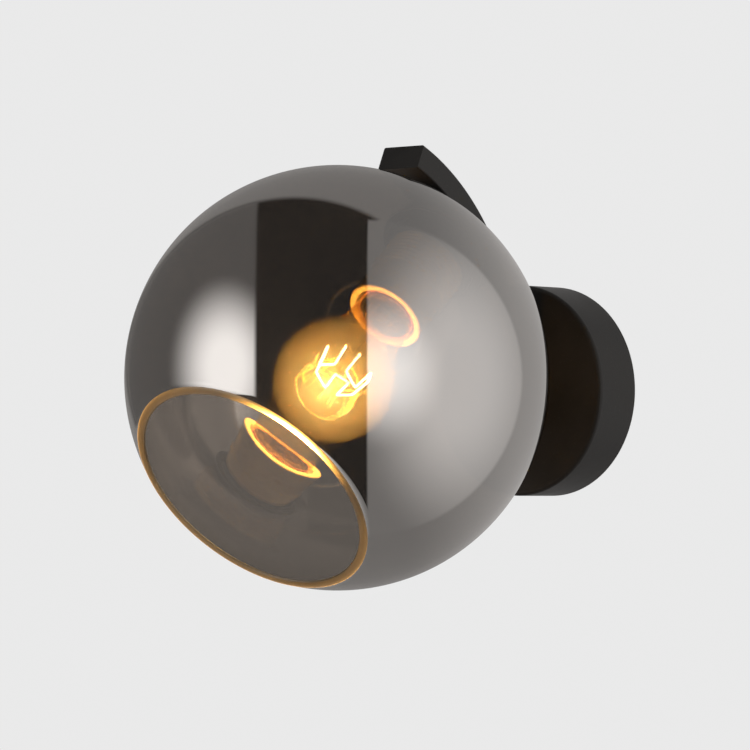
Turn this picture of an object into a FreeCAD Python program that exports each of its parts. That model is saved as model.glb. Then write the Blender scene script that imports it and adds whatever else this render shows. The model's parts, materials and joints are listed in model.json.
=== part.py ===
"""Globe wall sconce: a smoked glass globe with a cut mouth, hung from a curved arm on a round plate.

Lengths are in millimetres. The wall is the plane Y = 0, the lamp stands out along -Y, and +Z is up.
The origin is the middle of the round plate's back, where the fixing strap is screwed to the wall.
Three frames place the pieces:
  WALL  Z out of the wall and Y up, from the origin;
  LAMP  Z from the globe's centre up and back to the arm, along the lamp's axis;
  ARM   Y level from the globe's centre to the wall and Z up, for the arm that curves round the globe.
"""
import FreeCAD, Part
import math
import os
import re

import Sketcher
from FreeCAD import Placement, Rotation, Vector

# The sizes that can be set one by one.
DRIVING = {
    # clearances, and how far a cutting tool runs past a face
    "thread_gap": 0.05,
    "running_gap": 0.1,
    "hole_gap": 0.2,
    "fit_gap": 0.3,
    "overrun": 2.0,
    # glass globe
    "globe_radius": 100.0,
    "glass_wall": 2.5,
    "mouth_radius": 60.5,
    "glass_hole_radius": 21.0,
    "rim_rounding": 0.7,
    "lamp_tilt": 41.4,
    "globe_lift": 3.5,
    "globe_gap": 34.0,
    # curved arm
    "arm_gap": 10.0,
    "arm_thickness": 12.0,
    "arm_width": 25.0,
    "arm_wall": 1.5,
    "arm_corner": 1.0,
    "arm_tip_angle": 65.9,
    "arm_foot_angle": 10.0,
    "end_cap_thickness": 1.5,
    "end_cap_spigot": 5.0,
    "neck_radius": 9.0,
    "bush_radius": 7.0,
    "bush_depth": 4.0,
    # wall plate
    "plate_radius": 52.0,
    "plate_depth": 27.5,
    "plate_wall": 1.2,
    "plate_edge": 2.0,
    # fixing strap and the screws that hold the plate to it
    "strap_width": 18.0,
    "strap_thickness": 1.5,
    "strap_bend": 0.5,
    "ear_height": 15.0,
    "slot_spacing": 64.0,
    "slot_length": 14.0,
    "slot_radius": 2.5,
    "supply_hole_radius": 5.0,
    "screw_recess": 0.2,
    "side_screw_height": 9.0,
    "side_screw_radius": 2.0,
    "side_screw_length": 7.5,
    # terminal block on the strap
    "block_width": 19.0,
    "block_length": 16.0,
    "block_height": 12.0,
    "block_corner": 1.5,
    "block_drop": 15.5,
    "block_seat_depth": 3.0,
    "sleeve_spacing": 9.0,
    "sleeve_radius": 2.6,
    "sleeve_bore": 1.3,
    "sleeve_height": 5.0,
    "sleeve_inset": 1.0,
    "clamp_screw_radius": 1.25,
    "clamp_head_radius": 1.9,
    "clamp_head_height": 2.0,
    "clamp_head_lift": 0.9,
    # earth point on the strap, and the tag under the plate's nut
    "earth_rise": 16.0,
    "earth_screw_radius": 2.0,
    "earth_head_height": 2.4,
    "cup_washer_height": 1.6,
    "tag_thickness": 0.8,
    "tag_radius": 4.4,
    "tag_tongue_width": 3.2,
    "tag_barrel_radius": 1.8,
    "tag_barrel_length": 6.0,
    "tag_barrel_step": 1.0,
    "plate_tag_radius": 8.5,
    "plate_tag_reach": 14.0,
    # hollow threaded tubes, their nut and toothed washer
    "nipple_radius": 5.0,
    "nipple_bore": 3.5,
    "nipple_stand": 2.0,
    "nut_flats": 14.0,
    "nut_height": 3.0,
    "washer_thickness": 1.0,
    "lock_washer_radius": 8.8,
    "washer_notches": 12,
    "washer_notch_radius": 0.7,
    # lampholder
    "cup_radius": 25.0,
    "cup_wall": 1.2,
    "cup_drop": 3.5,
    "cup_rim_gap": 1.8,
    "cup_corner": 4.5,
    "gasket_width": 3.2,
    "skirt_radius": 19.25,
    "skirt_wall": 1.7,
    "skirt_drop": 0.5,
    "skirt_thread_depth": 0.75,
    "skirt_thread_pitch": 2.5,
    "skirt_thread_turns": 12,
    "skirt_lip_width": 3.6,
    "skirt_lip_rounding": 1.2,
    "thread_runout": 1.0,
    "holder_top_thickness": 5.0,
    "dome_wall": 2.0,
    "dome_spigot": 8.0,
    # screwed ring that clamps the glass
    "ring_flange_radius": 27.0,
    "ring_flange_thickness": 1.9,
    "ring_height": 7.7,
    "ring_body_radius": 23.2,
    "ring_rounding": 0.6,
    "ring_notches": 12,
    "ring_notch_radius": 2.0,
    "ring_notch_depth": 0.9,
    "ring_clearance": 0.06,
    # ceramic core and its terminals
    "core_height": 14.8,
    "core_rounding": 0.8,
    "rivet_hole_radius": 1.6,
    "post_offset": 8.5,
    "post_depth": 8.8,
    "post_width": 5.4,
    "post_length": 9.0,
    "post_height": 8.0,
    "post_hole_offset": 2.0,
    "post_screw_length": 5.0,
    "post_head_height": 1.5,
    # screw shell and centre contact
    "shell_wall": 0.6,
    "shell_turns": 5,
    "shell_inset": 2.0,
    "shell_hole_radius": 6.0,
    "screw_pitch": 3.63,
    "screw_depth": 0.7,
    "contact_width": 6.0,
    "contact_thickness": 0.6,
    "contact_foot": 5.0,
    "contact_heel": 3.0,
    "contact_reach": 2.3,
    "contact_gap": 0.3,
    # bulb
    "bulb_radius": 29.0,
    "bulb_length": 103.7,
    "bulb_wall": 0.8,
    "bulb_neck_radius": 14.6,
    "neck_drop": 3.6,
    "neck_straight": 0.8,
    "glass_insert": 6.0,
    "cap_radius": 13.1,
    "cap_wall": 0.5,
    "cap_turns": 5,
    "cap_inset": 0.6,
    "cap_flange": 0.3,
    "cap_flange_height": 0.8,
    "cap_collar": 3.4,
    "cap_shoulder": 1.35,
    "insulator_radius": 8.0,
    "insulator_height": 2.3,
    "insulator_face_radius": 5.0,
    "insulator_spigot": 0.6,
    "end_contact_radius": 4.6,
    "end_contact_height": 0.9,
    "end_contact_rounding": 0.4,
    # filament and its glass stem
    "cage_rise": 1.5,
    "cage_height": 11.5,
    "cage_near_radius": 10.6,
    "cage_far_radius": 12.7,
    "cage_loops": 4,
    "cage_chord": 55.0,
    "filament_radius": 0.22,
    "support_radius": 0.2,
    "support_dip": 1.0,
    "lead_radius": 0.35,
    "lead_offset": 2.2,
    "stem_radius": 1.0,
    "stem_reach": 6.0,
    "button_radius": 1.7,
    "button_height": 1.5,
    "press_radius": 3.2,
    "press_rise": 9.0,
    "press_length": 9.0,
    "flare_height": 4.0,
    # insulated wires
    "wire_radius": 1.1,
    "wire_offset": 1.7,
    "wire_drop": 1.6,
    "wire_turn_rise": 4.6,
    "wire_turn_height": 4.0,
    "earth_reach": 25.0,
    "earth_bow": 31.0,
}

# The sizes that follow from them.
DERIVED = {
    "globe_reach": "plate_depth + globe_gap + globe_radius",
    "glass_inner": "globe_radius - glass_wall",
    "mouth_depth": "sqrt(globe_radius ^ 2 - mouth_radius ^ 2)",
    "mouth_inner": "sqrt(glass_inner ^ 2 - mouth_depth ^ 2)",
    "arm_inner": "globe_radius + arm_gap",
    "arm_outer": "arm_inner + arm_thickness",
    "arm_middle": "(arm_inner + arm_outer) / 2",
    "arm_face": "plate_depth + globe_gap - arm_gap - arm_thickness",
    "plate_inner": "plate_radius - plate_wall",
    "plate_floor": "plate_depth - plate_wall",
    "ear_face": "sqrt(plate_inner ^ 2 - (strap_width / 2) ^ 2) - fit_gap",
    "nut_seat": "plate_floor - washer_thickness - tag_thickness",
    "nut_face": "nut_seat - nut_height",
    "threaded_bore": "nipple_radius + thread_gap",
    "plain_bore": "nipple_radius + hole_gap",
    "cup_top": "arm_inner - cup_drop",
    "cup_floor": "cup_top - cup_wall",
    "cup_rim": "sqrt(globe_radius ^ 2 - cup_radius ^ 2) + cup_rim_gap",
    "skirt_top": "glass_inner - skirt_drop",
    "skirt_bore": "skirt_radius - skirt_wall",
    "dome_foot": "skirt_top - dome_spigot",
    "dome_bore": "skirt_bore - dome_wall",
    "dome_ceiling": "cup_floor - holder_top_thickness",
    "core_top": "dome_foot - hole_gap",
    "core_base": "core_top - core_height",
    "core_radius": "skirt_bore - fit_gap",
    "lip_radius": "skirt_radius - skirt_lip_width",
    "thread_crest": "skirt_radius + skirt_thread_depth",
    "ring_bore": "thread_crest + ring_clearance",
    "ring_top": "sqrt(glass_inner ^ 2 - ring_flange_radius ^ 2) - fit_gap",
    "ring_foot": "ring_top - ring_height",
    "flange_foot": "ring_top - ring_flange_thickness",
    "cap_length": "cap_collar + cap_turns * screw_pitch + cap_shoulder + insulator_height"
                  " + end_contact_height",
    "bulb_foot": "core_base - contact_reach",
    "insulator_top": "bulb_foot - end_contact_height",
    "insulator_foot": "insulator_top - insulator_height",
    "cap_front": "bulb_foot - cap_length",
    "cap_inner": "cap_radius - screw_depth - cap_wall - thread_gap",
    "holder_front": "cap_front - cap_inset",
    "shell_crest": "cap_radius + running_gap",
    "shell_front": "holder_front + shell_inset",
    "bulb_tip": "bulb_foot - bulb_length",
    "bulb_centre": "bulb_tip + bulb_radius",
    "neck_height": "cap_front - neck_drop",
    "neck_rise": "neck_height - bulb_centre",
    "neck_bend": "(neck_rise ^ 2 + bulb_neck_radius ^ 2 - bulb_radius ^ 2)"
                 " / (2 * (bulb_radius - bulb_neck_radius))",
    "blend_share": "bulb_radius / (bulb_radius + neck_bend)",
    "blend_radius": "(neck_bend + bulb_neck_radius) * blend_share",
    "blend_height": "bulb_centre + neck_rise * blend_share",
    "inner_share": "(bulb_radius - bulb_wall) / (bulb_radius + neck_bend)",
    "inner_blend_radius": "(neck_bend + bulb_neck_radius) * inner_share",
    "inner_blend_height": "bulb_centre + neck_rise * inner_share",
    "glass_foot": "cap_front + glass_insert",
    "cage_near": "bulb_centre + cage_rise",
    "cage_far": "cage_near + cage_height",
    "stem_tip": "cage_near - stem_reach",
    "press_foot": "cage_far + press_rise",
    "press_top": "press_foot + press_length",
    "flare_radius": "cap_inner - bulb_wall - running_gap",
}

FULL_TURN = 360
HALF_TURN = 180
QUARTER_TURN = 90
X_AXIS = Vector(1, 0, 0)
Y_AXIS = Vector(0, 1, 0)
Z_AXIS = Vector(0, 0, 1)
SIDES = (("left", -1), ("right", 1))

document = FreeCAD.newDocument("globe_wall_sconce")
sheet = document.addObject("Spreadsheet::Sheet", "sizes")
for row, (name, amount) in enumerate({**DRIVING, **DERIVED}.items(), 1):
    sheet.set(f"A{row}", name)
    sheet.set(f"B{row}", f"={amount}" if name in DERIVED else str(amount))
    sheet.setAlias(f"B{row}", name)
document.recompute()
finished = []


def bound(formula):
    """A formula whose size names point at the sheet."""
    known = {**DRIVING, **DERIVED}
    return re.sub(r"[a-z]\w*", lambda word: f"sizes.{word[0]}" if word[0] in known else word[0], str(formula))


def size(formula):
    """The number that a formula gives with the sheet's sizes."""
    return float(sheet.evalExpression(bound(formula)))


WALL = Placement(Vector(), Rotation(X_AXIS, QUARTER_TURN))
GLOBE_CENTRE = Vector(0, -size("globe_reach"), size("globe_lift"))
LAMP = Placement(GLOBE_CENTRE, Rotation(X_AXIS, size("lamp_tilt") - QUARTER_TURN))
ARM = Placement(GLOBE_CENTRE, Rotation())


def moved(frame, x=0, y=0, z=0, axis=Z_AXIS, angle=0):
    """A place inside a frame, turned about an axis; x, y, z and the angle in degrees are formulas."""
    return frame * Placement(Vector(size(x), size(y), size(z)), Rotation(axis, size(angle)))


def keep(piece):
    """Mark an object as a finished sub-part."""
    finished.append(piece)
    return piece


# ---- sketches and bodies -------------------------------------------------------------------------


def draw_outline(sketch, corners):
    """One closed outline. A corner is (across, up) or (across, up, bend), each a formula.

    A bend is the radius of the arc to the next corner: plus turns left, minus turns right.
    """
    first = sketch.GeometryCount
    points = [Vector(size(corner[0]), size(corner[1]), 0) for corner in corners]
    ends = []
    for index, corner in enumerate(corners):
        start = points[index]
        finish = points[(index + 1) % len(points)]
        if len(corner) == 2:
            sketch.addGeometry(Part.LineSegment(start, finish), False)
            ends.append((1, 2))
            continue
        bend = size(corner[2])
        chord = finish - start
        left = Vector(-chord.y, chord.x, 0).normalize()
        rise = math.sqrt(max(bend ** 2 - chord.Length ** 2 / 4, 0))
        centre = (start + finish) / 2 + left * math.copysign(rise, bend)
        circle = Part.Circle(centre, Z_AXIS, abs(bend))
        travel = (start, finish) if bend > 0 else (finish, start)
        angles = [math.atan2(point.y - centre.y, point.x - centre.x) for point in travel]
        sketch.addGeometry(Part.ArcOfCircle(circle, *angles), False)
        ends.append((1, 2) if bend > 0 else (2, 1))
    for index, corner in enumerate(corners):
        follower = (index + 1) % len(corners)
        here = first + index
        sketch.addConstraint(
            Sketcher.Constraint("Coincident", here, ends[index][1], first + follower, ends[follower][0]))
        hold(sketch, ("DistanceX", here, ends[index][0]), corner[0])
        hold(sketch, ("DistanceY", here, ends[index][0]), corner[1])
        if len(corner) == 3:
            hold(sketch, ("Radius", here), f"abs({corner[2]})")


def hold(sketch, what, formula):
    """Add a dimension to a sketch and bind it to the sheet."""
    index = sketch.addConstraint(Sketcher.Constraint(*what, size(formula)))
    if bound(formula) != str(formula):
        sketch.setExpression(f"Constraints[{index}]", bound(formula))


def new_body(label, frame):
    body = document.addObject("PartDesign::Body", label)
    body.Label = label
    body.Placement = frame
    return body


def new_sketch(body, plane, outlines):
    """A sketch on one of the body's own origin planes."""
    sketch = body.newObject("Sketcher::SketchObject", f"{body.Name}_sketch")
    support = next(item for item in body.Origin.OriginFeatures if item.Role == plane)
    sketch.AttachmentSupport = (support, [""])
    sketch.MapMode = "FlatFace"
    for corners in outlines:
        draw_outline(sketch, corners)
    return sketch


def turned(label, frame, *outlines, axis="V_Axis", plane="XZ_Plane", angle=FULL_TURN):
    """A piece turned about its frame's Z axis; outlines are (radius, height) corners."""
    body = new_body(label, frame)
    sketch = new_sketch(body, plane, outlines)
    turning = body.newObject("PartDesign::Revolution", f"{label}_turning")
    turning.Profile = sketch
    turning.ReferenceAxis = (sketch, [axis])
    turning.setExpression("Angle", bound(angle))
    document.recompute()
    return body


def extruded(label, frame, plane, length, *outlines, middle=False):
    """A piece with the same section all along its length."""
    body = new_body(label, frame)
    sketch = new_sketch(body, plane, outlines)
    pad = body.newObject("PartDesign::Pad", f"{label}_pad")
    pad.Profile = sketch
    pad.SideType = "Symmetric" if middle else "One side"
    pad.setExpression("Length", bound(length))
    document.recompute()
    return body


def pocketed(body, plane, *outlines):
    """Cut outlines right through a body, both ways from one of its planes."""
    before = body.Shape.Volume
    sketch = new_sketch(body, plane, outlines)
    pocket = body.newObject("PartDesign::Pocket", f"{body.Name}_pocket")
    pocket.Profile = sketch
    pocket.Type = "ThroughAll"
    pocket.SideType = "Symmetric"
    document.recompute()
    assert body.Shape.Volume < before, f"{body.Label}: the pocket cuts nothing"
    return body


def rounded(body, radius, *rings):
    """Round a turned piece's circular edges at the given (radius, height) formulas."""
    places = [(size(ring[0]), size(ring[1])) for ring in rings]
    names = []
    base = body.Tip
    for index, edge in enumerate(base.Shape.Edges, 1):
        if not isinstance(edge.Curve, Part.Circle):
            continue
        centre = edge.Curve.Center
        if any(math.hypot(edge.Curve.Radius - reach, centre.z - height) < 0.01 for reach, height in places):
            names.append(f"Edge{index}")
    assert len(names) >= len(rings), f"{body.Label}: an edge to round is missing"
    fillet = body.newObject("PartDesign::Fillet", f"{body.Name}_rounding")
    fillet.Base = (base, names)
    fillet.setExpression("Radius", bound(radius))
    document.recompute()
    return body


def slot_outline(across, up, radius, length):
    """A slot with round ends, long upwards, about a point."""
    straight = f"(({length}) / 2 - {radius})"
    return [
        (f"{across} + {radius}", f"{up} - {straight}"),
        (f"{across} + {radius}", f"{up} + {straight}", radius),
        (across, f"{up} + ({length}) / 2", radius),
        (f"{across} - {radius}", f"{up} + {straight}"),
        (f"{across} - {radius}", f"{up} - {straight}", radius),
        (across, f"{up} - ({length}) / 2", radius),
    ]


def rounded_rectangle(low_x, low_y, high_x, high_y, corner):
    """A rectangle with arcs of one radius at its corners."""
    return [
        (f"{low_x} + {corner}", low_y),
        (f"{high_x} - ({corner})", low_y, corner),
        (high_x, f"{low_y} + {corner}"),
        (high_x, f"{high_y} - ({corner})", corner),
        (f"{high_x} - ({corner})", high_y),
        (f"{low_x} + {corner}", high_y, corner),
        (low_x, f"{high_y} - ({corner})"),
        (low_x, f"{low_y} + {corner}", corner),
    ]


# ---- primitives and booleans ---------------------------------------------------------------------


def cylinder(name, frame, radius, length):
    """A round bar from its frame's origin along the frame's Z."""
    bar = document.addObject("Part::Cylinder", name)
    bar.setExpression("Radius", bound(radius))
    bar.setExpression("Height", bound(length))
    bar.Placement = frame
    return bar


def box(name, frame, width, depth, height):
    """A box centred on its frame's X and Y, standing on its origin."""
    brick = document.addObject("Part::Box", name)
    brick.setExpression("Length", bound(width))
    brick.setExpression("Width", bound(depth))
    brick.setExpression("Height", bound(height))
    brick.Placement = frame * Placement(Vector(-size(width) / 2, -size(depth) / 2, 0), Rotation())
    return brick


def joined(name, pieces):
    """One solid from pieces that touch."""
    union = document.addObject("Part::MultiFuse", name)
    union.Shapes = pieces
    union.Label = name
    return union


def cut(name, base, tools):
    """A piece with tools taken away."""
    result = document.addObject("Part::Cut", name)
    result.Base = base
    result.Tool = tools[0] if len(tools) == 1 else joined(f"{name}_tools", tools)
    result.Label = name
    document.recompute()
    return result


def grouped(name, pieces):
    """Like pieces in one sub-part, each still a solid of its own."""
    group = document.addObject("Part::Compound", name)
    group.Links = pieces
    group.Label = name
    return group


def slotted_screw(name, frame, shank, shank_length, head, head_height):
    """A slotted screw: its shank runs up from the frame's origin to a cheese head."""
    shaft = cylinder(f"{name}_shank", frame, shank, shank_length)
    top = cylinder(f"{name}_head", moved(frame, z=shank_length), head, head_height)
    slot = box(f"{name}_slot", moved(frame, z=f"{shank_length} + {head_height} * 0.5"),
               f"2.2 * ({head})", f"0.35 * ({head})", head_height)
    return cut(name, joined(f"{name}_blank", [shaft, top]), [slot])


def set_screw(name, frame, radius, length):
    """A headless screw with a screwdriver slot in its outer end."""
    slot = box(f"{name}_slot", moved(frame, z=f"{length} - 0.6 * {radius}"),
               f"2.2 * {radius}", f"0.35 * {radius}", radius)
    return cut(name, cylinder(f"{name}_blank", frame, radius, length), [slot])


def hole(name, frame, radius, depth):
    """A tool for a round hole through a wall that starts at the frame's origin; it runs past both faces."""
    return cylinder(name, moved(frame, z="0 - overrun"), radius, f"({depth}) + 2 * overrun")


def ring_of(count, name, frame, reach, radius, depth):
    """Tools for round holes or notches at equal steps about the frame's Z axis."""
    tools = []
    for index in range(int(size(count))):
        place = moved(frame, angle=f"{FULL_TURN} / {count} * {index}")
        tools.append(hole(f"{name}_{index + 1}", moved(place, x=reach), radius, depth))
    return tools


# ---- wires ---------------------------------------------------------------------------------------


def rounded_route(points, share=0.45):
    """Straight runs joined by tangent arcs that take up a share of the shorter run at each corner."""
    edges = []
    start = points[0]
    for before, corner, after in zip(points, points[1:], points[2:]):
        back = before - corner
        onward = after - corner
        reach = share * min(back.Length, onward.Length)
        back.normalize()
        onward.normalize()
        half_opening = back.getAngle(onward) / 2
        bisector = (back + onward).normalize()
        radius = reach * math.tan(half_opening)
        middle = corner + bisector * (radius / math.sin(half_opening) - radius)
        arc_start = corner + back * reach
        arc_end = corner + onward * reach
        edges.append(Part.LineSegment(start, arc_start).toShape())
        edges.append(Part.Arc(arc_start, middle, arc_end).toShape())
        start = arc_end
    edges.append(Part.LineSegment(start, points[-1]).toShape())
    return Part.Wire(edges)


def wire_solid(points, radius, share=0.45):
    """A round wire along a route; its volume is compared with its section times its length."""
    route = rounded_route(points, share)
    section = Part.Wire([Part.Circle(points[0], points[1] - points[0], radius).toShape()])
    solid = route.makePipeShell([section], True, False)
    expected = math.pi * radius ** 2 * route.Length
    assert abs(solid.Volume - expected) < 0.01 * expected, "a wire has lost its section"
    return solid


def routed(label, routes, radius, share=0.45):
    """A sub-part of one or more round wires."""
    feature = document.addObject("Part::Feature", label)
    solids = [wire_solid(points, size(radius), share) for points in routes]
    feature.Shape = solids[0] if len(solids) == 1 else Part.Compound(solids)
    feature.Label = label
    return feature


def at(frame, x, y, z):
    """A point of a frame as a point of the whole lamp; x, y and z are formulas."""
    return frame.multVec(Vector(size(x), size(y), size(z)))


def in_arm(x, angle):
    """A point in the middle of the arm's tube, at an angle in degrees above level."""
    return at(moved(ARM, axis=X_AXIS, angle=angle), x, "arm_middle", 0)


def round_lamp(radius, turn, height):
    """A point round the lamp's axis; radius, turn in degrees and height are formulas."""
    return at(moved(LAMP, angle=turn), radius, 0, height)


def rolled_thread(mid_radius, start, pitch, turns, depth, inner=False):
    """Corners of a rolled thread's waves, upwards along the outside or back down along the inside."""
    bend = f"({pitch}) ^ 2 / (16 * {depth}) + {depth} / 4"
    count = 2 * int(size(turns))
    corners = []
    for half_turn in range(count):
        step = count - half_turn if inner else half_turn
        outward = (half_turn % 2 == 1) if inner else (half_turn % 2 == 0)
        turn_left = outward != inner
        sign = "" if turn_left else "-1 * "
        corners.append((mid_radius, f"{start} + {step} * {pitch} / 2", f"{sign}({bend})"))
    return corners


# ---- wall plate, strap and its fixings -----------------------------------------------------------


def make_strap():
    """Folded steel strap: two slots for the wall screws, two tapped ears for the plate's side screws."""
    inner = "(ear_face - strap_thickness)"
    outer_bend = "(strap_thickness + strap_bend)"
    strap = extruded("strap_blank", WALL, "YZ_Plane", "strap_width", [
        (f"0 - ear_face + {outer_bend}", 0),
        (f"ear_face - {outer_bend}", 0, outer_bend),
        ("ear_face", outer_bend),
        ("ear_face", "ear_height"),
        (inner, "ear_height"),
        (inner, outer_bend, "0 - strap_bend"),
        (f"{inner} - strap_bend", "strap_thickness"),
        (f"0 - {inner} + strap_bend", "strap_thickness", "0 - strap_bend"),
        (f"0 - {inner}", outer_bend),
        (f"0 - {inner}", "ear_height"),
        ("0 - ear_face", "ear_height"),
        ("0 - ear_face", outer_bend, outer_bend),
    ], middle=True)
    pocketed(strap, "XY_Plane",
             slot_outline("0", "slot_spacing / 2", "slot_radius", "slot_length"),
             slot_outline("0", "0 - slot_spacing / 2", "slot_radius", "slot_length"))
    ears = moved(WALL, y="ear_face", z="side_screw_height", axis=X_AXIS, angle=QUARTER_TURN)
    earth_place = moved(WALL, y="earth_rise")
    block_place = moved(WALL, y="0 - block_drop")
    keep(cut("mounting_strap", strap, [
        hole("ear_holes", ears, "side_screw_radius + thread_gap", "2 * ear_face"),
        hole("supply_hole", WALL, "supply_hole_radius", "strap_thickness"),
        hole("earth_hole", earth_place, "earth_screw_radius + thread_gap", "strap_thickness"),
        hole("block_hole", block_place, "clamp_screw_radius + thread_gap", "strap_thickness"),
    ]))


def make_plate():
    """Pressed steel cup, open to the wall, with a hole for the arm's threaded tube."""
    plate = turned("plate_blank", WALL, [
        ("plain_bore", "plate_floor"),
        ("plate_inner", "plate_floor"),
        ("plate_inner", 0),
        ("plate_radius", 0),
        ("plate_radius", "plate_depth"),
        ("plain_bore", "plate_depth"),
    ])
    rounded(plate, "plate_edge", ("plate_radius", "plate_depth"))
    rounded(plate, "plate_edge / 2", ("plate_inner", "plate_floor"))
    across = moved(WALL, y="plate_radius", z="side_screw_height", axis=X_AXIS, angle=QUARTER_TURN)
    keep(cut("wall_plate", plate, [hole("plate_screw_holes", across, "side_screw_radius + hole_gap",
                                        "2 * plate_radius")]))


def make_side_screws():
    """Two headless screws that hold the plate to the strap's ears, from above and below."""
    screws = []
    for name, turn in (("upper_side_screw", -QUARTER_TURN), ("lower_side_screw", QUARTER_TURN)):
        frame = moved(WALL, z="side_screw_height", axis=X_AXIS, angle=turn)
        start = moved(frame, z="plate_radius - screw_recess - side_screw_length")
        screws.append(set_screw(name, start, "side_screw_radius", "side_screw_length"))
    keep(grouped("side_screws", screws))


def make_terminal_block():
    """Nylon block with two brass sleeves for the live and neutral wires, screwed to the strap."""
    frame = moved(WALL, y="0 - block_drop", z="strap_thickness")
    body = extruded("block_blank", frame, "XY_Plane", "block_height", rounded_rectangle(
        "0 - block_width / 2", "0 - block_length / 2", "block_width / 2", "block_length / 2", "block_corner"))
    head_well = "clamp_head_radius + fit_gap"
    seat = moved(frame, z="block_height - block_seat_depth")
    tools = [
        hole("block_screw_hole", frame, "clamp_screw_radius + hole_gap", "block_height"),
        cylinder("block_screw_seat", seat, head_well, "block_height"),
    ]
    sleeves = []
    screws = []
    for side, sign in SIDES:
        level = moved(frame, x=f"{sign} * sleeve_spacing / 2", z="sleeve_height")
        channel = moved(level, y="block_length / 2", axis=X_AXIS, angle=QUARTER_TURN)
        tools.append(hole(f"{side}_channel", channel, "sleeve_radius + thread_gap", "block_length"))
        blank = cylinder(f"{side}_sleeve_blank", moved(channel, z="sleeve_inset"), "sleeve_radius",
                         "block_length - 2 * sleeve_inset")
        threads = [hole(f"{side}_sleeve_bore", channel, "sleeve_bore", "block_length")]
        for end, way in (("lower", -1), ("upper", 1)):
            name = f"{side}_{end}"
            place = moved(level, y=f"{way} * block_length / 4")
            tools.append(cylinder(f"{name}_well", place, head_well, "block_height"))
            threads.append(cylinder(f"{name}_tap", place, "clamp_screw_radius + thread_gap", "block_height"))
            tip = "(wire_radius + thread_gap)"
            screws.append(slotted_screw(f"{name}_clamp", moved(place, z=tip), "clamp_screw_radius",
                                        f"sleeve_radius + clamp_head_lift - {tip}",
                                        "clamp_head_radius", "clamp_head_height"))
        sleeves.append(cut(f"{side}_sleeve", blank, threads))
    keep(cut("terminal_block", body, tools))
    keep(grouped("terminal_sleeves", sleeves))
    keep(grouped("terminal_screws", screws))
    keep(slotted_screw("block_screw", moved(WALL, y="0 - block_drop", z="screw_recess"), "clamp_screw_radius",
                       "strap_thickness + block_height - block_seat_depth - screw_recess",
                       "clamp_head_radius", "clamp_head_height"))


def ring_tag(name, frame, outer, inner, reach, step):
    """A crimped ring tag: a flat ring, a tongue, and a barrel off its plane that grips the earth wire."""
    ring = cylinder(f"{name}_ring", frame, outer, "tag_thickness")
    tongue_length = f"({reach} + tag_thickness)"
    tongue = box(f"{name}_tongue", moved(frame, x=f"{tongue_length} / 2"), tongue_length,
                 "tag_tongue_width", "tag_thickness")
    start = moved(frame, x=reach, z=f"tag_thickness / 2 + {step}", axis=Y_AXIS, angle=QUARTER_TURN)
    barrel = cylinder(f"{name}_barrel", start, "tag_barrel_radius", "tag_barrel_length")
    wire_hole = cylinder(f"{name}_wire_hole", moved(start, z="tag_thickness"), "wire_radius + thread_gap",
                         "tag_barrel_length")
    return cut(name, joined(f"{name}_blank", [ring, tongue, barrel]),
               [hole(f"{name}_hole", frame, inner, "tag_thickness"), wire_hole])


def make_earth_point():
    """Earth screw, cupped washer and tags: one tag on the strap, one under the plate's nut."""
    frame = moved(WALL, y="earth_rise", z="strap_thickness")
    shank_hole = "earth_screw_radius + hole_gap"
    strap_tag = ring_tag("strap_tag", frame, "tag_radius", shank_hole,
                         "strap_width / 2 + fit_gap", "tag_barrel_step")
    plate_tag = ring_tag("plate_tag", moved(WALL, z="nut_seat"), "plate_tag_radius", "plain_bore",
                         "plate_tag_reach", "0 - tag_barrel_step")
    keep(grouped("earth_tags", [strap_tag, plate_tag]))
    keep(turned("earth_washer", moved(frame, z="tag_thickness"), [
        (shank_hole, 0),
        ("tag_radius", 0),
        ("tag_radius", "cup_washer_height"),
        ("tag_radius - tag_thickness", "cup_washer_height"),
        ("tag_radius - tag_thickness", "tag_thickness"),
        (shank_hole, "tag_thickness"),
    ]))
    keep(slotted_screw("earth_screw", moved(WALL, y="earth_rise", z="screw_recess"), "earth_screw_radius",
                       "strap_thickness + 2 * tag_thickness - screw_recess",
                       "tag_radius - tag_thickness - hole_gap", "earth_head_height"))


def make_plate_fastening():
    """Hollow threaded tube through the plate, with its nut and toothed washer inside."""
    keep(turned("plate_nipple", WALL, [
        ("nipple_bore", "nut_face - nipple_stand"),
        ("nipple_radius", "nut_face - nipple_stand"),
        ("nipple_radius", "arm_face - nipple_stand"),
        ("nipple_bore", "arm_face - nipple_stand"),
    ]))
    seat = moved(WALL, z="plate_floor - washer_thickness")
    washer = cylinder("washer_blank", seat, "lock_washer_radius", "washer_thickness")
    notches = ring_of("washer_notches", "washer_notch", seat, "lock_washer_radius + hole_gap",
                      "washer_notch_radius", "washer_thickness")
    keep(cut("lock_washer", washer, [hole("washer_hole", seat, "plain_bore", "washer_thickness"), *notches]))
    nut = document.addObject("Part::Prism", "nut_blank")
    nut.Polygon = 6
    nut.setExpression("Circumradius", bound("nut_flats / sqrt(3)"))
    nut.setExpression("Height", bound("nut_height"))
    nut.Placement = moved(WALL, z="nut_face")
    keep(cut("plate_nut", nut, [hole("nut_bore", nut.Placement, "threaded_bore", "nut_height")]))


# ---- curved arm ----------------------------------------------------------------------------------


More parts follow.
